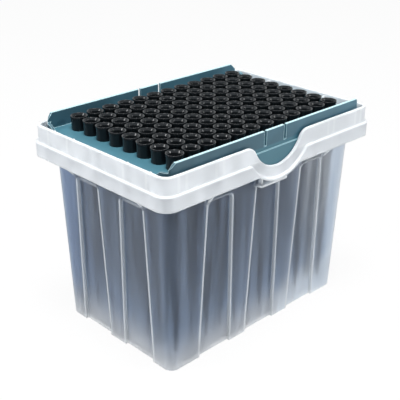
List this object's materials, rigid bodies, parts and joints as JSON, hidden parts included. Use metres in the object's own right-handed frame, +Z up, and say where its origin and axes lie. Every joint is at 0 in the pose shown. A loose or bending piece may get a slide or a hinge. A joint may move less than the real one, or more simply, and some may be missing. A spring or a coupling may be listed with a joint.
{
  "type": "pipette tip box",
  "caption": "Open box of long black pipette tips: a frosted tub with finger notches, and a lift-out tray that holds the tips upright in a grid.",
  "frame": {"origin": "middle of the tub's underside, on the surface that the box stands on", "axes": "+Z up; +X along the long side, from column 1 to column 12; +Y across, towards row A"},
  "size_m": [0.1342, 0.0906, 0.1018],
  "materials": {
    "tub": "frosted translucent polypropylene",
    "tray": "satin teal polypropylene",
    "tip": "glossy black conductive polypropylene"
  },
  "bodies": {
    "tub": {"tub": "tub"},
    "tray": {"tray": "tray", "tips_a1_b1": "tip", "tips_c1_d1": "tip", "tips_e1_f1": "tip", "tips_g1_h1": "tip", "tips_a2_b2": "tip", "tips_c2_d2": "tip", "tips_e2_f2": "tip", "tips_g2_h2": "tip", "tips_a3_b3": "tip", "tips_c3_d3": "tip", "tips_e3_f3": "tip", "tips_g3_h3": "tip", "tips_a4_b4": "tip", "tips_c4_d4": "tip", "tips_e4_f4": "tip", "tips_g4_h4": "tip", "tips_a5_b5": "tip", "tips_c5_d5": "tip", "tips_e5_f5": "tip", "tips_g5_h5": "tip", "tips_a6_b6": "tip", "tips_c6_d6": "tip", "tips_e6_f6": "tip", "tips_g6_h6": "tip", "tips_a7_b7": "tip", "tips_c7_d7": "tip", "tips_e7_f7": "tip", "tips_g7_h7": "tip", "tips_a8_b8": "tip", "tips_c8_d8": "tip", "tips_e8_f8": "tip", "tips_g8_h8": "tip", "tips_a9_b9": "tip", "tips_c9_d9": "tip", "tips_e9_f9": "tip", "tips_g9_h9": "tip", "tips_a10_b10": "tip", "tips_c10_d10": "tip", "tips_e10_f10": "tip", "tips_g10_h10": "tip", "tips_a11_b11": "tip", "tips_c11_d11": "tip", "tips_e11_f11": "tip", "tips_g11_h11": "tip", "tips_a12_b12": "tip", "tips_c12_d12": "tip", "tips_e12_f12": "tip", "tips_g12_h12": "tip"}
  },
  "joints": [
    {"name": "tray_lift", "type": "slide", "parent": "tub", "child": "tray", "axis": [0, 0, 1], "range_m": [0, 0.1]}
  ]
}
